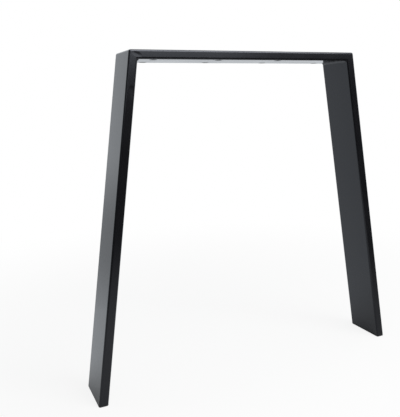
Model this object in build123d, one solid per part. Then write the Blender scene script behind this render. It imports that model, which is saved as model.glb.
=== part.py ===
from build123d import *
import math
import os

# Outline of the frame, in millimetres: a trapezoid that is open at the floor, over its outer faces
frame_height = 720.0
top_width = 560.0
foot_width = 740.0

# Flat rectangular steel tube, the same for the crossbar and both legs
tube_depth = 100.0
tube_thickness = 20.0
tube_wall = 2.0
tube_edge_radius = 4.0

# Screw holes in the top wall of the crossbar, each with a wider access hole in the wall below it
hole_columns = 4
hole_rows = 2
column_spacing = 150.0
row_spacing = 70.0
screw_hole_diameter = 7.0
access_hole_diameter = 16.0

# Corner weld: a groove weld ground flush round the mitre, and a bead left in the inner corner
groove_root_land = 0.15
bead_leg = 4.0
bead_crown = 0.4
bead_end_taper = 1.5

# Outer top corners of the frame, ground round after welding down to this much weld at the tip
corner_weld_left = 0.3

# Plastic plug in the open foot of each leg: a flange, and fins round a hollow sleeve
plug_flange = 2.5
plug_edge_chamfer = 0.8
plug_sleeve_length = 18.0
plug_sleeve_wall = 1.8
plug_sleeve_clearance = 1.0
fin_count = 3
fin_thickness = 0.8
fin_clearance = 0.05

# Slope of the legs, and the directions in which the two tubes leave the right top corner
leg_drop = frame_height - plug_flange
leg_tilt = math.atan2((foot_width - top_width) / 2, leg_drop)
along_bar = Vector(-1, 0, 0)
along_leg = Vector(math.sin(leg_tilt), 0, -math.cos(leg_tilt))
corner_angle = math.pi / 2 + leg_tilt

# Right corner: the tip of the mitre outside, and where the two tubes meet inside
outer_corner = Vector(top_width / 2, 0, frame_height)
into_frame = (along_bar + along_leg).normalized()
inner_corner = outer_corner + into_frame * (tube_thickness / math.sin(corner_angle / 2))

# Each tube is drawn on a plane with z along the tube and x into the frame
bar_plane = Plane(outer_corner, x_dir=(0, 0, -1), z_dir=along_bar)
leg_plane = Plane(outer_corner, x_dir=Vector(0, 1, 0).cross(along_leg), z_dir=along_leg)

# The planes that cut the tubes: the mitre, with z towards the leg, and the foot
mitre_plane = Plane(outer_corner, x_dir=(0, 1, 0), z_dir=along_leg - along_bar)
mitre_axis = Axis(outer_corner, along_leg - along_bar)
foot_plane = Plane.XY.offset(plug_flange)

# Lengths along the tubes, with enough to spare at both ends for the slanted cuts
cut_allowance = 2 * tube_thickness
leg_length = leg_drop / math.cos(leg_tilt)
groove_depth = tube_wall - groove_root_land

# A round corner lies this share of its radius below the sharp tip, measured along the mitre
tip_share = 1 / math.sin(corner_angle / 2) - 1
corner_radius = (groove_depth - corner_weld_left) / tip_share

# The foot is cut level, so its outline is a little wider than the tube and slants across it
foot_thickness = tube_thickness / math.cos(leg_tilt)
foot_slant = tube_thickness * math.tan(leg_tilt)
fin_pitch = plug_sleeve_length / fin_count


def outline(inset):
    """The tube's outline moved inwards, with rounded corners for as long as they have room."""
    width = tube_thickness - 2 * inset
    depth = tube_depth - 2 * inset
    radius = tube_edge_radius - inset
    return RectangleRounded(width, depth, radius) if radius > 0 else Rectangle(width, depth)


def bar_of_outline(plane, inset, start, end):
    """A solid bar of the moved outline between two places along the plane's z."""
    return plane * Pos(tube_thickness / 2, 0, start) * extrude(outline(inset), end - start)


def tube_stock(plane, length):
    """A hollow tube that runs past both ends of the length it is cut to."""
    skin = bar_of_outline(plane, 0, -cut_allowance, length + cut_allowance)
    return skin - bar_of_outline(plane, tube_wall, -cut_allowance, length + cut_allowance)


def other_side(piece):
    """The same piece on the other side of the frame."""
    return mirror(piece, about=Plane.YZ)


def bevel_right_mitre(tube):
    """Bevels the outer edges of the right mitre for the groove weld."""
    mitre_face = tube.faces().filter_by(mitre_axis)[0]
    return chamfer(mitre_face.outer_wire().edges(), groove_depth)


def drill_crossbar(bar):
    """Drills the screw holes from the top and the access holes from below."""
    drill_reach = tube_thickness / 2
    for spot in GridLocations(column_spacing, row_spacing, hole_columns, hole_rows):
        bar -= Pos(0, 0, frame_height) * spot * Cylinder(screw_hole_diameter / 2, drill_reach)
        underside = Pos(0, 0, frame_height - tube_thickness)
        bar -= underside * spot * Cylinder(access_hole_diameter / 2, drill_reach)
    return bar


def ground_round(piece):
    """The piece with the outer top corners of the frame ground to their radius."""
    floor_width = foot_width + 2 * plug_flange * math.tan(leg_tilt)
    side_angle = 90 - math.degrees(leg_tilt)
    face = Trapezoid(floor_width, frame_height, side_angle, align=(Align.CENTER, Align.MIN))
    face = fillet(face.vertices().group_by(Axis.Y)[-1], corner_radius)
    return piece & Plane.XZ * extrude(face, tube_depth, both=True)


def inner_bead():
    """The bead left in the inner corner: two flat legs, a crowned face and tapered ends."""
    on_bar = inner_corner + along_bar * bead_leg
    on_leg = inner_corner + along_leg * bead_leg
    crown = (on_bar + on_leg) / 2 + into_frame * bead_crown
    section = make_face(
        [Line(on_leg, inner_corner), Line(inner_corner, on_bar), ThreePointArc(on_bar, crown, on_leg)]
    )
    bead = extrude(section, tube_depth / 2 - tube_edge_radius, dir=(0, 1, 0), both=True)
    end_arcs = bead.edges().filter_by(GeomType.CIRCLE)
    return chamfer(end_arcs, bead_end_taper)


def foot_plug():
    """The plug of the right leg: a flange under the tube's end, a hollow sleeve and its fins."""
    flange_outline = RectangleRounded(foot_thickness, tube_depth, tube_edge_radius)
    flange = Pos((foot_width - foot_thickness) / 2, 0, 0) * extrude(flange_outline, plug_flange)
    flange = chamfer(flange.edges().group_by(Axis.Z)[0], plug_edge_chamfer)

    sleeve_top = leg_length - foot_slant - plug_sleeve_length
    sleeve_skin = tube_wall + plug_sleeve_clearance
    inside = bar_of_outline(leg_plane, sleeve_skin, sleeve_top, leg_length)
    for number in range(fin_count):
        fin_top = sleeve_top + fin_pitch * (number + 0.5)
        inside += bar_of_outline(leg_plane, tube_wall + fin_clearance, fin_top, fin_top + fin_thickness)
    inside -= bar_of_outline(leg_plane, sleeve_skin + plug_sleeve_wall, sleeve_top, leg_length)
    return flange + split(inside, foot_plane, keep=Keep.TOP)


# Right leg: mitred and bevelled at the top, cut level above the flange of its plug
cut_leg = split(tube_stock(leg_plane, leg_length), mitre_plane, keep=Keep.TOP)
cut_leg = split(cut_leg, foot_plane, keep=Keep.TOP)
bevelled_leg = bevel_right_mitre(cut_leg)
right_leg_tube = ground_round(bevelled_leg)

# Crossbar: mitred at both ends, then bevelled and drilled
cut_bar = split(tube_stock(bar_plane, top_width), mitre_plane, keep=Keep.BOTTOM)
cut_bar = split(other_side(cut_bar), mitre_plane, keep=Keep.BOTTOM)
bevelled_bar = bevel_right_mitre(cut_bar)
crossbar_tube = drill_crossbar(ground_round(bevel_right_mitre(other_side(bevelled_bar))))

# Right corner weld: what fills the two bevels, and the bead inside the corner
groove_weld = (cut_leg - bevelled_leg) + (cut_bar - bevelled_bar)
right_corner_weld = ground_round(groove_weld + inner_bead())

right_foot_plug = foot_plug()

pieces = {
    "crossbar_tube": crossbar_tube,
    "right_leg_tube": right_leg_tube,
    "left_leg_tube": other_side(right_leg_tube),
    "right_corner_weld": right_corner_weld,
    "left_corner_weld": other_side(right_corner_weld),
    "right_foot_plug": right_foot_plug,
    "left_foot_plug": other_side(right_foot_plug),
}

os.makedirs("parts", exist_ok=True)
for name, piece in pieces.items():
    export_step(piece, f"parts/{name}.step")
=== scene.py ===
import math

import bmesh
import bpy
from mathutils import Matrix, Vector


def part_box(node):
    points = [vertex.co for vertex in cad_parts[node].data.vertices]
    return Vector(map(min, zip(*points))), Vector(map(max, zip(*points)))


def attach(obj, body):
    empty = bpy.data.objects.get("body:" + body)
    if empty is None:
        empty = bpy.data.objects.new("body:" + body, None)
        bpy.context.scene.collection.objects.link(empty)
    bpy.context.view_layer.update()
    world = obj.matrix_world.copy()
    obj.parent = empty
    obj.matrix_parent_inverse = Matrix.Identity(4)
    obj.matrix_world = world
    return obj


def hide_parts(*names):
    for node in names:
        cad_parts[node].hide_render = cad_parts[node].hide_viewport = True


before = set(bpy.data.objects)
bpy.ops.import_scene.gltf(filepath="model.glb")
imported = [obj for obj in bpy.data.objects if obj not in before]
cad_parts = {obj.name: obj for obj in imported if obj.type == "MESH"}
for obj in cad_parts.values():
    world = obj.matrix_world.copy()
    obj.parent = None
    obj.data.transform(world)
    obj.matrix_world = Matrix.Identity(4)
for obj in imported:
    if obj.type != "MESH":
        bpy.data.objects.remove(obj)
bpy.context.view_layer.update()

MM = 0.001

# Sizes of the frame and its tube, in metres, as in the solids
bar_low, bar_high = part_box("crossbar_tube")
frame_height = bar_high.z
top_width = 560.0 * MM
foot_width = 2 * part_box("right_foot_plug")[1].x
foot_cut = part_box("right_leg_tube")[0].z
tube_thickness = bar_high.z - bar_low.z
tube_depth = bar_high.y - bar_low.y
tube_wall = 2.0 * MM
tube_edge_radius = 4.0 * MM
front_face = bar_low.y

# Screw holes in the top of the crossbar, each with a wider access hole below it
hole_columns = 4
hole_rows = 2
column_spacing = 150.0 * MM
row_spacing = 70.0 * MM
screw_hole_diameter = 7.0 * MM
access_hole_diameter = 16.0 * MM

# Corner welds: a groove weld ground flush, and a bead inside the corner that runs out at both ends
groove_depth = 1.85 * MM
corner_weld_left = 0.3 * MM
bead_leg = 4.0 * MM
bead_crown = 0.4 * MM
bead_end_gap = 0.4 * MM
bead_run_out = 6.0 * MM
bead_end_share = 0.1

# Ripples across the bead, where the weld pool set
ripple_pitch = 2.6 * MM
ripple_height = 0.3 * MM

# The ground outer corners dip a little before the middle of the tube's depth
tip_dip = 0.65 * MM
tip_dip_y = -12.0 * MM
tip_dip_reach = 22.0 * MM

# A shallow scoop of the grinding disc on the front of the left corner, on the crossbar side
scoop_place = Vector((-0.2643, front_face, 0.7104))
scoop_way = Vector((11.3, 0, -5.2)).normalized()
scoop_half_length = 14.0 * MM
scoop_half_width = 6.5 * MM
scoop_depth = 0.21 * MM

# A small ding on the front of the left leg, steep above and running out below
ding_place = Vector((-0.2778, front_face, 0.6408))
ding_half_width = 6.0 * MM
ding_rise = 7.5 * MM
ding_run_out = 26.0 * MM
ding_depth = 0.34 * MM

# Steps of the meshes: round the tube and its edges, and along the ends that are ground or marked
outline_columns = 296
edge_steps = 16
ring_spacing = 0.8 * MM
bar_fine_reach = 28.0 * MM
leg_fine_reach = 108.0 * MM

# Steps of the holes and the welds
hole_sides = 64
groove_steps = 3
bead_steps = 12
bead_rings = 230

# Points this close are one point, and a spot this close to the skin belongs to it
ring_merge_distance = 0.01 * MM
bead_merge_distance = 0.001 * MM
skin_tolerance = 0.2 * MM

# Edges that turn by more degrees than this stay sharp
tube_sharp_angle = 30
weld_sharp_angle = 40

# Slope of the legs and the angle between a leg and the crossbar
leg_drop = frame_height - foot_cut
leg_tilt = math.atan2((foot_width - top_width) / 2, leg_drop)
leg_length = leg_drop / math.cos(leg_tilt)
corner_angle = math.pi / 2 + leg_tilt
mitre_slope = 1 / math.tan(corner_angle / 2)
foot_slope = math.tan(leg_tilt)

# The outer corners are ground round until only a little weld is left at the tip of the mitre
corner_radius = (groove_depth - corner_weld_left) / (1 / math.sin(corner_angle / 2) - 1)

# Camera of the photo, found from the edges of the frame in its 400 by 417 pixels
photo_width = 400
photo_height = 417
focal_length_px = 550.945
optical_centre_px = (203.285, 141.612)
camera_place = (-0.607531, -1.118356, 0.608901)
camera_heading = 0.4255
camera_rise = -0.0704
camera_roll = -0.0275
sensor_width_mm = 36.0

# The studio: a wide floor, and a room that the coat shows a little cool but the camera sees white
floor_reach = 12.0
room_colour = "#f5faff"
camera_white = "#ffffff"

# Light that the room sheds on the frame and the floor, as a share of what is seen of it
room_light_share = 0.3

# Where the black flags stand: on the floor in front, behind the camera, at the left, behind the left leg
flags_front = -2.4
flags_left = -2.5
flags_right = 4.0
floor_flag_back = -0.05
floor_flag_lift = 4.0 * MM
front_flag_top = [(flags_left, 0.74), (0.3, 0.84), (1.3, 0.91), (2.1, 0.99), (flags_right, 1.35)]
left_flag_x = -2.2
left_flag_back = 1.9
left_flag_top = 2.0
leg_flag_y = 0.6
leg_flag_left = -0.8
leg_flag_right = -0.26
leg_flag_top = 0.56

# A Mix node has number and colour sockets of the same names, so its colours go by their place
mix_first = 6
mix_second = 7
mix_result = 2

# A wave texture of scale 1 repeats after this length
wave_repeat = math.pi / 10


def linear(hex_colour):
    """An sRGB hex colour as linear red, green, blue and full alpha."""
    parts = [int(hex_colour[i:i + 2], 16) / 255 for i in (1, 3, 5)]
    return [c / 12.92 if c <= 0.04045 else ((c + 0.055) / 1.055) ** 2.4 for c in parts] + [1.0]


def add(tree, kind, inputs=None, **settings):
    """Adds a node. An input is a value or another node's output; settings are the node's attributes."""
    node = tree.nodes.new(kind)
    for name, value in settings.items():
        setattr(node, name, value)
    for name, value in (inputs or {}).items():
        if isinstance(value, bpy.types.NodeSocket):
            tree.links.new(value, node.inputs[name])
        else:
            node.inputs[name].default_value = value
    return node


def new_material(name):
    """An empty node material, and its output node."""
    material = bpy.data.materials.new(name)
    material.use_nodes = True
    material.node_tree.nodes.clear()
    return material, add(material.node_tree, "ShaderNodeOutputMaterial")


def powder_coated_steel():
    """Polyester powder, sprayed and baked on steel: an even satin black with a faint orange peel,
    nearly black face on and pale where it mirrors the room at a low angle."""
    material, output = new_material("powder_coated_steel_satin_black")
    tree = material.node_tree

    # The orange peel has its real size; the clouds are where the coat came out thicker or thinner
    peel_size = 1.6 * MM
    peel_height = 0.05 * MM
    cloud_size = 60 * MM
    place = add(tree, "ShaderNodeTexCoord").outputs["Object"]
    clouds = add(
        tree, "ShaderNodeTexNoise",
        {"Vector": place, "Scale": 1 / cloud_size, "Detail": 3.0},
    )
    peel = add(
        tree, "ShaderNodeTexNoise",
        {"Vector": place, "Scale": 1 / peel_size, "Detail": 2.0},
    )
    tone = add(
        tree, "ShaderNodeMix",
        {"Factor": clouds.outputs["Fac"], mix_first: linear("#0e0e10"), mix_second: linear("#131315")},
        data_type="RGBA",
    )
    gloss = add(
        tree, "ShaderNodeMapRange",
        {
            "Value": clouds.outputs["Fac"], "From Min": 0.3, "From Max": 0.7,
            "To Min": 0.15, "To Max": 0.19,
        },
    )
    relief = add(
        tree, "ShaderNodeBump",
        {"Height": peel.outputs["Fac"], "Strength": 0.12, "Distance": peel_height},
    )
    coat = add(
        tree, "ShaderNodeBsdfPrincipled",
        {
            "Base Color": tone.outputs[mix_result],
            "Roughness": gloss.outputs["Result"],
            "Normal": relief.outputs["Normal"],
            "IOR": 1.42,
            # Painted light: the cool tint of the reflections stands in for the cool light of the room
            # that the coat mirrors
            "Specular Tint": linear("#eff4ff"),
        },
    )
    tree.links.new(coat.outputs["BSDF"], output.inputs["Surface"])
    return material


def moulded_polyethylene():
    """Black polyethylene from a spark-eroded mould: matt, with a fine even grain."""
    material, output = new_material("moulded_polyethylene_matt_black")
    tree = material.node_tree

    # The real grain is about 0.2 mm wide; it is drawn coarser, so that it shows
    grain_size = 0.9 * MM
    grain_height = 0.05 * MM
    place = add(tree, "ShaderNodeTexCoord").outputs["Object"]
    grain = add(
        tree, "ShaderNodeTexNoise",
        {"Vector": place, "Scale": 1 / grain_size, "Detail": 3.0},
    )
    tone = add(
        tree, "ShaderNodeMix",
        {"Factor": grain.outputs["Fac"], mix_first: linear("#0a0a0b"), mix_second: linear("#111112")},
        data_type="RGBA",
    )
    relief = add(
        tree, "ShaderNodeBump",
        {"Height": grain.outputs["Fac"], "Strength": 0.3, "Distance": grain_height},
    )
    plastic = add(
        tree, "ShaderNodeBsdfPrincipled",
        {
            "Base Color": tone.outputs[mix_result],
            "Roughness": 0.6,
            "Normal": relief.outputs["Normal"],
            "IOR": 1.5,
        },
    )
    tree.links.new(plastic.outputs["BSDF"], output.inputs["Surface"])
    return material


def white_background_paper():
    """White paper that runs into a white room: close to the feet it is lit paper with a soft shadow,
    and further off it is as white as the room in every direction it is seen in."""
    material, output = new_material("white_background_paper_matt")
    tree = material.node_tree

    # The camera sees mostly white near the frame, and only white this far off
    near = 0.3
    far = 1.6
    white_share_near = 0.86

    # In front of the frame the coat shows the lit paper, and behind it the white room
    paper_ends = -0.1
    room_begins = 0.25

    paper = add(tree, "ShaderNodeBsdfDiffuse", {"Color": linear("#c6c6c5")})
    ray = add(tree, "ShaderNodeLightPath").outputs
    white = add(
        tree, "ShaderNodeMix",
        {
            "Factor": ray["Is Camera Ray"],
            mix_first: linear(room_colour), mix_second: linear(camera_white),
        },
        data_type="RGBA",
    )
    glow = add(tree, "ShaderNodeEmission", {"Color": white.outputs[mix_result], "Strength": 1.0})
    place = add(tree, "ShaderNodeTexCoord").outputs["Object"]
    away = add(tree, "ShaderNodeVectorMath", {0: place}, operation="LENGTH")
    direct_share = add(
        tree, "ShaderNodeMapRange",
        {
            "Value": away.outputs["Value"], "From Min": near, "From Max": far,
            "To Min": white_share_near, "To Max": 1.0,
        },
        interpolation_type="SMOOTHSTEP",
    )
    direct_share = add(
        tree, "ShaderNodeMath",
        {0: ray["Is Camera Ray"], 1: direct_share.outputs[0]}, operation="MULTIPLY",
    )
    depth = add(tree, "ShaderNodeSeparateXYZ", {0: place})
    mirrored_share = add(
        tree, "ShaderNodeMapRange",
        {
            "Value": depth.outputs["Y"], "From Min": paper_ends, "From Max": room_begins,
            "To Min": 0.0, "To Max": 1.0,
        },
        interpolation_type="SMOOTHSTEP",
    )
    mirrored = add(
        tree, "ShaderNodeMath",
        {0: ray["Is Glossy Ray"], 1: ray["Is Transmission Ray"]}, operation="MAXIMUM",
    )
    share = add(
        tree, "ShaderNodeMath",
        {0: mirrored.outputs[0], 1: mirrored_share.outputs[0], 2: direct_share.outputs[0]},
        operation="MULTIPLY_ADD",
    )
    mixed = add(
        tree, "ShaderNodeMixShader",
        {0: share.outputs[0], 1: paper.outputs[0], 2: glow.outputs[0]},
    )
    tree.links.new(mixed.outputs[0], output.inputs["Surface"])
    return material


def black_velvet(centre, dense_at, clear_at, density):
    """Black velvet that thins out from one distance from a point to another, so that the coat shows
    no hard edge."""
    material, output = new_material("black_velvet_flag")
    tree = material.node_tree
    velvet = add(tree, "ShaderNodeBsdfDiffuse", {"Color": linear("#0c0c0c")})
    clear = add(tree, "ShaderNodeBsdfTransparent")
    place = add(tree, "ShaderNodeTexCoord").outputs["Object"]
    away = add(tree, "ShaderNodeVectorMath", {0: place, 1: centre}, operation="DISTANCE")
    thin = add(
        tree, "ShaderNodeMapRange",
        {
            "Value": away.outputs["Value"], "From Min": dense_at, "From Max": clear_at,
            "To Min": 1 - density, "To Max": 1.0,
        },
        interpolation_type="SMOOTHSTEP",
    )
    mixed = add(
        tree, "ShaderNodeMixShader",
        {0: thin.outputs[0], 1: velvet.outputs[0], 2: clear.outputs[0]},
    )
    tree.links.new(mixed.outputs[0], output.inputs["Surface"])
    return material


def new_geometry_tree(name, sizes):
    """A geometry tree with named inputs for its sizes and its material, and those inputs."""
    tree = bpy.data.node_groups.new(name, "GeometryNodeTree")
    kinds = {int: "NodeSocketInt", float: "NodeSocketFloat"}
    tree.interface.new_socket("Geometry", in_out="INPUT", socket_type="NodeSocketGeometry")
    for label, value in sizes.items():
        tree.interface.new_socket(label, in_out="INPUT", socket_type=kinds[type(value)])
    tree.interface.new_socket("Material", in_out="INPUT", socket_type="NodeSocketMaterial")
    tree.interface.new_socket("Geometry", in_out="OUTPUT", socket_type="NodeSocketGeometry")
    return tree, add(tree, "NodeGroupInput").outputs


def end_tree(tree, geometry, given):
    """Ends a geometry tree: instances made real, then the material and the output."""
    real = add(tree, "GeometryNodeRealizeInstances", {"Geometry": geometry})
    coated = add(
        tree, "GeometryNodeSetMaterial",
        {"Geometry": real.outputs[0], "Material": given["Material"]},
    )
    add(tree, "NodeGroupOutput", {"Geometry": coated.outputs[0]})


def swept_wall_tree(sizes):
    """Sweeps a drawn section of the wall round the tube's rounded outline."""
    tree, given = new_geometry_tree("swept_wall", sizes)
    section = add(tree, "GeometryNodeMeshToCurve", {"Mesh": given["Geometry"]})
    outline = add(
        tree, "GeometryNodeCurvePrimitiveQuadrilateral",
        {"Width": given["Thickness"], "Height": given["Depth"]}, mode="RECTANGLE",
    )
    outline = add(
        tree, "GeometryNodeFilletCurve",
        {"Curve": outline.outputs[0], "Count": edge_steps, "Radius": given["Edge radius"]},
        mode="POLY",
    )
    outline = add(
        tree, "GeometryNodeResampleCurve",
        {"Curve": outline.outputs[0], "Count": given["Columns"]}, mode="COUNT",
    )
    swept = add(
        tree, "GeometryNodeCurveToMesh",
        {"Curve": outline.outputs[0], "Profile Curve": section.outputs[0]},
    )
    end_tree(tree, swept.outputs[0], given)
    return tree


def drilled_rows_tree(sizes):
    """Drills rows of holes in the crossbar: screw holes in its top, wider access holes below them."""
    tree, given = new_geometry_tree("drilled_rows", sizes)
    gaps = add(tree, "ShaderNodeMath", {0: given["Columns"], 1: 1.0}, operation="SUBTRACT")
    row_length = add(
        tree, "ShaderNodeMath",
        {0: gaps.outputs[0], 1: given["Column spacing"]}, operation="MULTIPLY",
    )
    spots = add(
        tree, "GeometryNodeMeshGrid",
        {
            "Size X": row_length.outputs[0], "Size Y": given["Row spacing"],
            "Vertices X": given["Columns"], "Vertices Y": given["Rows"],
        },
    )
    drills = []
    for radius, height in (("Screw hole radius", "Top"), ("Access hole radius", "Underside")):
        drill = add(
            tree, "GeometryNodeMeshCylinder",
            {"Vertices": hole_sides, "Radius": given[radius], "Depth": given["Drill reach"]},
        )
        drilled = add(
            tree, "GeometryNodeInstanceOnPoints",
            {"Points": spots.outputs["Mesh"], "Instance": drill.outputs["Mesh"]},
        )
        level = add(tree, "ShaderNodeCombineXYZ", {"Z": given[height]})
        drills.append(add(
            tree, "GeometryNodeTransform",
            {"Geometry": drilled.outputs[0], "Translation": level.outputs[0]},
        ))
    cut = add(
        tree, "GeometryNodeMeshBoolean",
        {"Mesh 1": given["Geometry"], "Mesh 2": drills[0].outputs[0]},
        operation="DIFFERENCE", solver="EXACT",
    )
    tree.links.new(drills[1].outputs[0], cut.inputs["Mesh 2"])
    end_tree(tree, cut.outputs["Mesh"], given)
    return tree


def rippled_bead_tree(sizes):
    """A weld bead along Y: a drawn section that shrinks at both ends, with ripples across its face."""
    tree, given = new_geometry_tree("rippled_bead", sizes)
    section = add(tree, "GeometryNodeMeshToCurve", {"Mesh": given["Geometry"]})
    ends = []
    for side in (-0.5, 0.5):
        end = add(tree, "ShaderNodeMath", {0: given["Length"], 1: side}, operation="MULTIPLY")
        ends.append(add(tree, "ShaderNodeCombineXYZ", {"Y": end.outputs[0]}).outputs[0])
    line = add(tree, "GeometryNodeCurvePrimitiveLine", {"Start": ends[0], "End": ends[1]})
    line = add(
        tree, "GeometryNodeResampleCurve",
        {"Curve": line.outputs[0], "Count": bead_rings}, mode="COUNT",
    )

    # The bead is full size up to its ends, where it runs out in a short slope
    passed = add(tree, "GeometryNodeSplineParameter").outputs["Length"]
    left = add(tree, "ShaderNodeMath", {0: given["Length"], 1: passed}, operation="SUBTRACT")
    nearer = add(tree, "ShaderNodeMath", {0: passed, 1: left.outputs[0]}, operation="MINIMUM")
    size = add(
        tree, "ShaderNodeMapRange",
        {
            "Value": nearer.outputs[0], "From Min": 0.0, "From Max": given["Run-out"],
            "To Min": bead_end_share, "To Max": 1.0,
        },
        interpolation_type="SMOOTHERSTEP",
    )
    bead = add(
        tree, "GeometryNodeCurveToMesh",
        {
            "Curve": line.outputs[0], "Profile Curve": section.outputs[0],
            "Scale": size.outputs[0], "Fill Caps": True,
        },
    )

    # Ripples are sunk only into the face that looks into the frame
    place = add(tree, "GeometryNodeInputPosition").outputs[0]
    facing = add(tree, "GeometryNodeInputNormal").outputs[0]
    inward = add(tree, "ShaderNodeCombineXYZ", {"X": given["Inward X"], "Z": given["Inward Z"]})
    shown = add(
        tree, "ShaderNodeVectorMath", {0: facing, 1: inward.outputs[0]}, operation="DOT_PRODUCT",
    )
    shown = add(tree, "ShaderNodeMath", {0: shown.outputs["Value"], 1: 0.0}, operation="MAXIMUM")
    wave_scale = add(
        tree, "ShaderNodeMath", {0: wave_repeat, 1: given["Ripple pitch"]}, operation="DIVIDE",
    )
    ripples = add(
        tree, "ShaderNodeTexWave",
        {
            "Vector": place, "Scale": wave_scale.outputs[0], "Distortion": 1.6, "Detail": 2.0,
            "Detail Scale": 0.6, "Phase Offset": given["Seed"],
        },
        bands_direction="Y", wave_profile="SIN",
    )
    dip = add(tree, "ShaderNodeMath", {0: ripples.outputs["Fac"], 1: 1.0}, operation="SUBTRACT")
    dip = add(
        tree, "ShaderNodeMath", {0: dip.outputs[0], 1: given["Ripple height"]}, operation="MULTIPLY",
    )
    dip = add(tree, "ShaderNodeMath", {0: dip.outputs[0], 1: shown.outputs[0]}, operation="MULTIPLY")
    moved = add(
        tree, "ShaderNodeVectorMath", {0: facing, "Scale": dip.outputs[0]}, operation="SCALE",
    )
    rippled = add(
        tree, "GeometryNodeSetPosition",
        {"Geometry": bead.outputs[0], "Offset": moved.outputs[0]},
    )
    end_tree(tree, rippled.outputs[0], given)
    return tree


def run_tree(piece, tree, sizes, material):
    """Runs a geometry tree on a piece with these sizes and keeps the result as a plain mesh."""
    modifier = piece.modifiers.new(tree.name, "NODES")
    modifier.node_group = tree
    values = dict(sizes, Material=material)
    for socket in tree.interface.items_tree:
        if socket.in_out == "INPUT" and socket.name in values:
            modifier[socket.identifier] = values[socket.name]
    bpy.context.view_layer.update()
    finished = piece.evaluated_get(bpy.context.evaluated_depsgraph_get())
    made = bpy.data.meshes.new_from_object(finished)
    made.name = piece.name
    piece.modifiers.remove(modifier)
    piece.data = made
    return piece


def drawn_piece(name, points, closed):
    """A new object that holds a drawn line of points in its own plane."""
    drawing = bpy.data.meshes.new(name)
    count = len(points)
    edges = [(i, (i + 1) % count) for i in range(count if closed else count - 1)]
    drawing.from_pydata([(x, y, 0) for x, y in points], edges, [])
    piece = bpy.data.objects.new(name, drawing)
    bpy.context.scene.collection.objects.link(piece)
    return piece


def wall_section(run):
    """The lengthwise section of a tube's wall, bevelled for the groove weld at a mitred end."""
    length = run["length"]
    fine = [groove_depth + ring_spacing * i for i in range(int(run["fine_reach"] / ring_spacing))]
    if run["both_ends"]:
        skin = fine + [length - z for z in reversed(fine)]
        end = [(tube_wall, length), (groove_depth, length)]
    else:
        skin = fine + [length]
        end = [(tube_wall, length)]
    points = [(groove_depth, 0.0), (tube_wall, 0.0)] + end + [(0.0, z) for z in reversed(skin)]
    return [(-inset, -z) for inset, z in points]


def groove_section(run, at_end):
    """The section of the weld metal on one side of the mitre: its root, and its face on the skin."""
    face = [groove_depth * i / groove_steps for i in range(groove_steps, -1, -1)]
    points = [(groove_depth, 0.0)] + [(0.0, z) for z in face]
    if at_end:
        return [(-inset, z - run["length"]) for inset, z in reversed(points)]
    return [(-inset, -z) for inset, z in points]


def bead_section():
    """The section of the bead: its two flat legs in the corner and a crowned face."""
    chord = bead_leg * math.cos(corner_angle / 2)
    points = [(0.0, 0.0)]
    for i in range(bead_steps + 1):
        turn = corner_angle * i / bead_steps
        crown = bead_crown * math.sin(math.pi * i / bead_steps)
        radius = chord / math.cos(turn - corner_angle / 2) + crown
        points.append((-radius * math.cos(turn), radius * math.sin(turn)))
    return points


def round_corner(across, along, y):
    """Where a spot of the skin lies once the outer corner is ground round: its place across the tube,
    and along it from the mitre."""
    reach = corner_radius * mitre_slope
    if across >= corner_radius or along >= reach:
        return across, along
    centre = Vector((corner_radius, reach))
    way = (Vector((across, along)) - centre).normalized()
    dip = tip_dip * math.exp(-((y - tip_dip_y) / tip_dip_reach) ** 2) * (1 - along / reach) ** 2
    return centre + way * (corner_radius - across - dip)


def hollow(depth, along, across):
    """Depth of a smooth hollow at a spot, given in shares of its half length and half width."""
    return depth * max(0.0, 1 - along ** 2 - across ** 2) ** 2


def front_hollows(spot):
    """How deep the scoop and the ding go into the front at a spot."""
    away = spot - scoop_place
    along = away.dot(scoop_way) / scoop_half_length
    across = away.cross(scoop_way).y / scoop_half_width
    scoop = hollow(scoop_depth, along, across)
    away = spot - ding_place
    along = away.z / (ding_rise if away.z > 0 else ding_run_out)
    across = away.x / ding_half_width
    return scoop + hollow(ding_depth, along, across)


def shape_tube(piece, run):
    """Slides each ring of a swept tube into its cut planes, grinds its skin and puts it in its place."""
    core_x = tube_thickness / 2 - tube_edge_radius
    core_y = tube_depth / 2 - tube_edge_radius
    place = run["place"]
    length = run["length"]
    for vertex in piece.data.vertices:
        x, y, along = vertex.co
        core = Vector((min(core_x, max(-core_x, x)), min(core_y, max(-core_y, y)), 0))
        from_core = Vector((x, y, 0)) - core
        share = along / length
        slope = run["start_slope"] * (1 - share) + run["end_slope"] * share
        across = x + tube_thickness / 2
        along += across * slope
        if from_core.length > tube_edge_radius - skin_tolerance:
            if share < 0.5:
                across, along = round_corner(across, along, y)
            elif run["both_ends"]:
                across, from_end = round_corner(across, length - along, y)
                along = length - from_end

            # The hollows are full on the flat front and fade out round its edges
            front_share = max(0.0, -2 * from_core.normalized().y - 1)
            y += front_share * front_hollows(place @ Vector((across, y, along)))
        vertex.co = place @ Vector((across, y, along))
    if place.determinant() < 0:
        piece.data.flip_normals()


def swept_piece(name, section, closed, run):
    """A section swept round the tube's outline, then cut, ground and put in its place."""
    piece = run_tree(drawn_piece(name, section, closed), swept_wall, tube_sizes, steel)
    shape_tube(piece, run)
    return piece


def wrap_bead(piece):
    """Lets the ends of the bead follow the rounded edges of the two tubes."""
    outward = Vector((math.cos(corner_angle / 2), 0, math.sin(corner_angle / 2)))
    for vertex in piece.data.vertices:
        past = max(0.0, abs(vertex.co.y) - tube_depth / 2 + tube_edge_radius)
        sunk = tube_edge_radius - math.sqrt(tube_edge_radius ** 2 - past ** 2)
        vertex.co += outward * (sunk / math.sin(corner_angle / 2))


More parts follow.
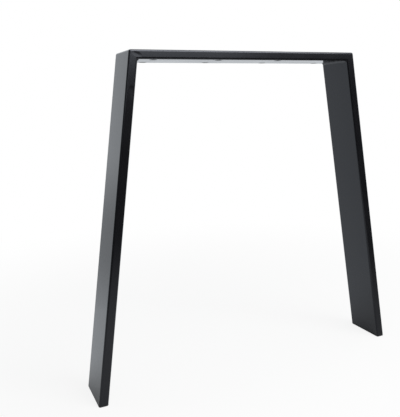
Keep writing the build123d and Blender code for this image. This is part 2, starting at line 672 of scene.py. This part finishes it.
def join_pieces(name, pieces, merge_distance):
    """One new piece from several, with the points that lie together made one."""
    joined = bmesh.new()
    for piece in pieces:
        joined.from_mesh(piece.data)
    bmesh.ops.remove_doubles(joined, verts=joined.verts, dist=merge_distance)
    bmesh.ops.recalc_face_normals(joined, faces=joined.faces)
    mesh = bpy.data.meshes.new(name)
    joined.to_mesh(mesh)
    joined.free()
    mesh.materials.append(pieces[0].data.materials[0])
    for piece in pieces:
        bpy.data.objects.remove(piece)
    result = bpy.data.objects.new(name, mesh)
    bpy.context.scene.collection.objects.link(result)
    return result


def corner_weld(side, leg_run, sign):
    """A corner's weld: two halves of the groove weld that meet in the mitre, and the bead inside."""
    halves = [
        swept_piece(f"{side}_weld_leg", groove_section(leg_run, False), False, leg_run),
        swept_piece(f"{side}_weld_bar", groove_section(bar_run, sign > 0), False, bar_run),
    ]
    ring = join_pieces(f"{side}_ring", halves, ring_merge_distance)
    drawing = drawn_piece(f"{side}_bead", bead_section(), True)
    bead = run_tree(drawing, rippled_bead, dict(bead_sizes, Seed=float(sign)), steel)
    wrap_bead(bead)
    bead.data.transform(Matrix.Scale(sign, 4, (1, 0, 0)) @ Matrix.Translation(inner_corner))
    return join_pieces(f"{side}_weld", [ring, bead], bead_merge_distance)


def soften(piece, sharp_angle):
    """Smooth shading, with edges that turn further than the angle kept sharp."""
    piece.data.polygons.foreach_set("use_smooth", [True] * len(piece.data.polygons))
    piece.data.set_sharp_from_angle(angle=math.radians(sharp_angle))


def stage_sheet(name, corners, material):
    """A flat sheet of the stage between its corners."""
    mesh = bpy.data.meshes.new(name)
    mesh.from_pydata(corners, [], [range(len(corners))])
    mesh.materials.append(material)
    sheet = bpy.data.objects.new(name, mesh)
    bpy.context.scene.collection.objects.link(sheet)
    return sheet


def rectangle(left, low, right, high):
    """The four corners of a rectangle, as pairs."""
    return [(left, low), (right, low), (right, high), (left, high)]


def soft_lamp(name, place, target, width, height, power):
    """A softbox that looks at a point."""
    lamp = bpy.data.lights.new(name, "AREA")
    lamp.shape = "RECTANGLE"
    lamp.size = width
    lamp.size_y = height
    lamp.energy = power
    stand = bpy.data.objects.new(name, lamp)
    aim = Vector(target) - Vector(place)
    stand.matrix_world = Matrix.Translation(place) @ aim.to_track_quat("-Z", "Y").to_matrix().to_4x4()
    bpy.context.scene.collection.objects.link(stand)


def white_room():
    """The room round the stage: white to the camera, a little cool in the coat, and dim as a lamp."""
    world = bpy.data.worlds.new("white_studio")
    bpy.context.scene.world = world
    world.use_nodes = True
    tree = world.node_tree
    tree.nodes.clear()
    ray = add(tree, "ShaderNodeLightPath").outputs
    seen = add(
        tree, "ShaderNodeMath",
        {0: ray["Is Camera Ray"], 1: ray["Is Glossy Ray"]}, operation="MAXIMUM",
    )
    seen = add(
        tree, "ShaderNodeMath",
        {0: seen.outputs[0], 1: ray["Is Transmission Ray"]}, operation="MAXIMUM",
    )
    level = add(
        tree, "ShaderNodeMapRange",
        {"Value": seen.outputs[0], "To Min": room_light_share, "To Max": 1.0},
    )
    white = add(
        tree, "ShaderNodeMix",
        {
            "Factor": ray["Is Camera Ray"],
            mix_first: linear(room_colour), mix_second: linear(camera_white),
        },
        data_type="RGBA",
    )
    room = add(
        tree, "ShaderNodeBackground",
        {"Color": white.outputs[mix_result], "Strength": level.outputs[0]},
    )
    add(tree, "ShaderNodeOutputWorld", {"Surface": room.outputs[0]})


def photo_camera():
    """The camera of the photo; its shift is there because the photo is cut from a larger picture."""
    lens = bpy.data.cameras.new("photo_camera")
    longer_side = max(photo_width, photo_height)
    lens.sensor_width = sensor_width_mm
    lens.lens = focal_length_px * sensor_width_mm / longer_side
    lens.shift_x = (photo_width / 2 - optical_centre_px[0]) / longer_side
    lens.shift_y = (optical_centre_px[1] - photo_height / 2) / longer_side
    lens.clip_start = 0.01

    level_part = math.cos(camera_rise)
    forward = Vector((
        math.sin(camera_heading) * level_part,
        math.cos(camera_heading) * level_part,
        math.sin(camera_rise),
    ))
    level_right = Vector((math.cos(camera_heading), -math.sin(camera_heading), 0))
    level_up = level_right.cross(forward)
    right = math.cos(camera_roll) * level_right + math.sin(camera_roll) * level_up
    up = -math.sin(camera_roll) * level_right + math.cos(camera_roll) * level_up
    turn = Matrix((right, up, -forward)).transposed().to_4x4()

    camera = bpy.data.objects.new("photo_camera", lens)
    camera.matrix_world = Matrix.Translation(camera_place) @ turn
    bpy.context.scene.collection.objects.link(camera)
    bpy.context.scene.camera = camera


steel = powder_coated_steel()
plastic = moulded_polyethylene()

# Each tube's own frame: x into the frame, y to the back, z along the tube from its first end
mirror = Matrix.Scale(-1, 4, (1, 0, 0))
sine = math.sin(leg_tilt)
cosine = math.cos(leg_tilt)
right_corner = Vector((top_width / 2, 0, frame_height))
leg_turn = Matrix(((-cosine, 0, sine), (0, 1, 0), (-sine, 0, -cosine))).to_4x4()
bar_turn = Matrix(((0, 0, 1), (0, 1, 0), (-1, 0, 0))).to_4x4()
right_leg_place = Matrix.Translation(right_corner) @ leg_turn
bar_place = Matrix.Translation((-top_width / 2, 0, frame_height)) @ bar_turn

right_leg_run = {
    "place": right_leg_place,
    "length": leg_length,
    "both_ends": False,
    "start_slope": mitre_slope,
    "end_slope": -foot_slope,
    "fine_reach": leg_fine_reach,
}
left_leg_run = dict(right_leg_run, place=mirror @ right_leg_place)
bar_run = {
    "place": bar_place,
    "length": top_width,
    "both_ends": True,
    "start_slope": mitre_slope,
    "end_slope": -mitre_slope,
    "fine_reach": bar_fine_reach,
}

# The three tubes, with the holes drilled in the crossbar
tube_sizes = {
    "Thickness": tube_thickness,
    "Depth": tube_depth,
    "Edge radius": tube_edge_radius,
    "Columns": outline_columns,
}
swept_wall = swept_wall_tree(tube_sizes)
tubes = {}
for name, run in (("right_leg", right_leg_run), ("left_leg", left_leg_run), ("crossbar", bar_run)):
    tubes[name] = swept_piece(name, wall_section(run), True, run)

drill_sizes = {
    "Columns": hole_columns,
    "Rows": hole_rows,
    "Column spacing": column_spacing,
    "Row spacing": row_spacing,
    "Screw hole radius": screw_hole_diameter / 2,
    "Access hole radius": access_hole_diameter / 2,
    "Drill reach": tube_thickness / 2,
    "Top": frame_height,
    "Underside": frame_height - tube_thickness,
}
run_tree(tubes["crossbar"], drilled_rows_tree(drill_sizes), drill_sizes, steel)

# The two corner welds; each bead has its own seed
inner_corner = right_corner - Vector((tube_thickness * mitre_slope, 0, tube_thickness))
bead_sizes = {
    "Length": tube_depth - 2 * bead_end_gap,
    "Run-out": bead_run_out,
    "Ripple pitch": ripple_pitch,
    "Ripple height": ripple_height,
    "Inward X": -math.cos(corner_angle / 2),
    "Inward Z": -math.sin(corner_angle / 2),
    "Seed": 0.0,
}
rippled_bead = rippled_bead_tree(bead_sizes)
welds = {
    "right": corner_weld("right", right_leg_run, 1),
    "left": corner_weld("left", left_leg_run, -1),
}

for name, piece in tubes.items():
    soften(piece, tube_sharp_angle)
    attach(piece, "root")
    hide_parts(name + "_tube")
for side, piece in welds.items():
    soften(piece, weld_sharp_angle)
    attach(piece, "root")
    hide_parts(side + "_corner_weld")

# The foot plugs keep their solids
for side in ("left", "right"):
    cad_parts[side + "_foot_plug"].material_slots[0].material = plastic

floor_corners = rectangle(-floor_reach, -floor_reach, floor_reach, floor_reach)
stage_sheet("floor", [(x, y, 0) for x, y in floor_corners], white_background_paper())

# Black flags keep the camera's side and the left of the room dark, as the coat shows them
floor_flag = rectangle(flags_left, flags_front, flags_right, floor_flag_back)
front_flag = [(flags_left, 0.0)] + front_flag_top + [(flags_right, 0.0)]
left_flag = rectangle(flags_front, 0.0, left_flag_back, left_flag_top)
leg_flag = rectangle(leg_flag_left, 0.0, leg_flag_right, leg_flag_top)
flags = [
    stage_sheet(
        "flag_on_floor", [(x, y, floor_flag_lift) for x, y in floor_flag],
        black_velvet(centre=(-0.3, 0.0, 0.0), dense_at=1.5, clear_at=0.1, density=1.0),
    ),
    stage_sheet(
        "flag_behind_camera", [(x, flags_front, z) for x, z in front_flag],
        black_velvet(centre=(0.0, flags_front, 0.0), dense_at=8.0, clear_at=9.0, density=1.0),
    ),
    stage_sheet(
        "flag_at_left", [(left_flag_x, y, z) for y, z in left_flag],
        black_velvet(centre=(left_flag_x, -1.0, 0.7), dense_at=2.2, clear_at=2.9, density=0.86),
    ),
    stage_sheet(
        "flag_behind_left_leg", [(x, leg_flag_y, z) for x, z in leg_flag],
        black_velvet(centre=(-0.52, leg_flag_y, 0.215), dense_at=0.04, clear_at=0.3, density=0.37),
    ),
]

# The flags show only in the coat
for flag in flags:
    flag.visible_camera = False
    flag.visible_diffuse = False
    flag.visible_shadow = False
    flag.visible_transmission = False

white_room()
soft_lamp(
    "overhead_softbox", place=(0.4, -0.55, 2.4), target=(0.4, -0.55, 0),
    width=2.0, height=1.9, power=38.0,
)
soft_lamp(
    "key_softbox", place=(0.75, -2.0, 2.1), target=(0.2, 0, 0.7),
    width=2.4, height=1.3, power=84.0,
)
soft_lamp(
    "front_softbox", place=(0.78, -2.6, 1.3), target=(0.1, 0, 0.7),
    width=1.2, height=0.7, power=4.7,
)
photo_camera()

bpy.context.scene.view_settings.view_transform = "Standard"
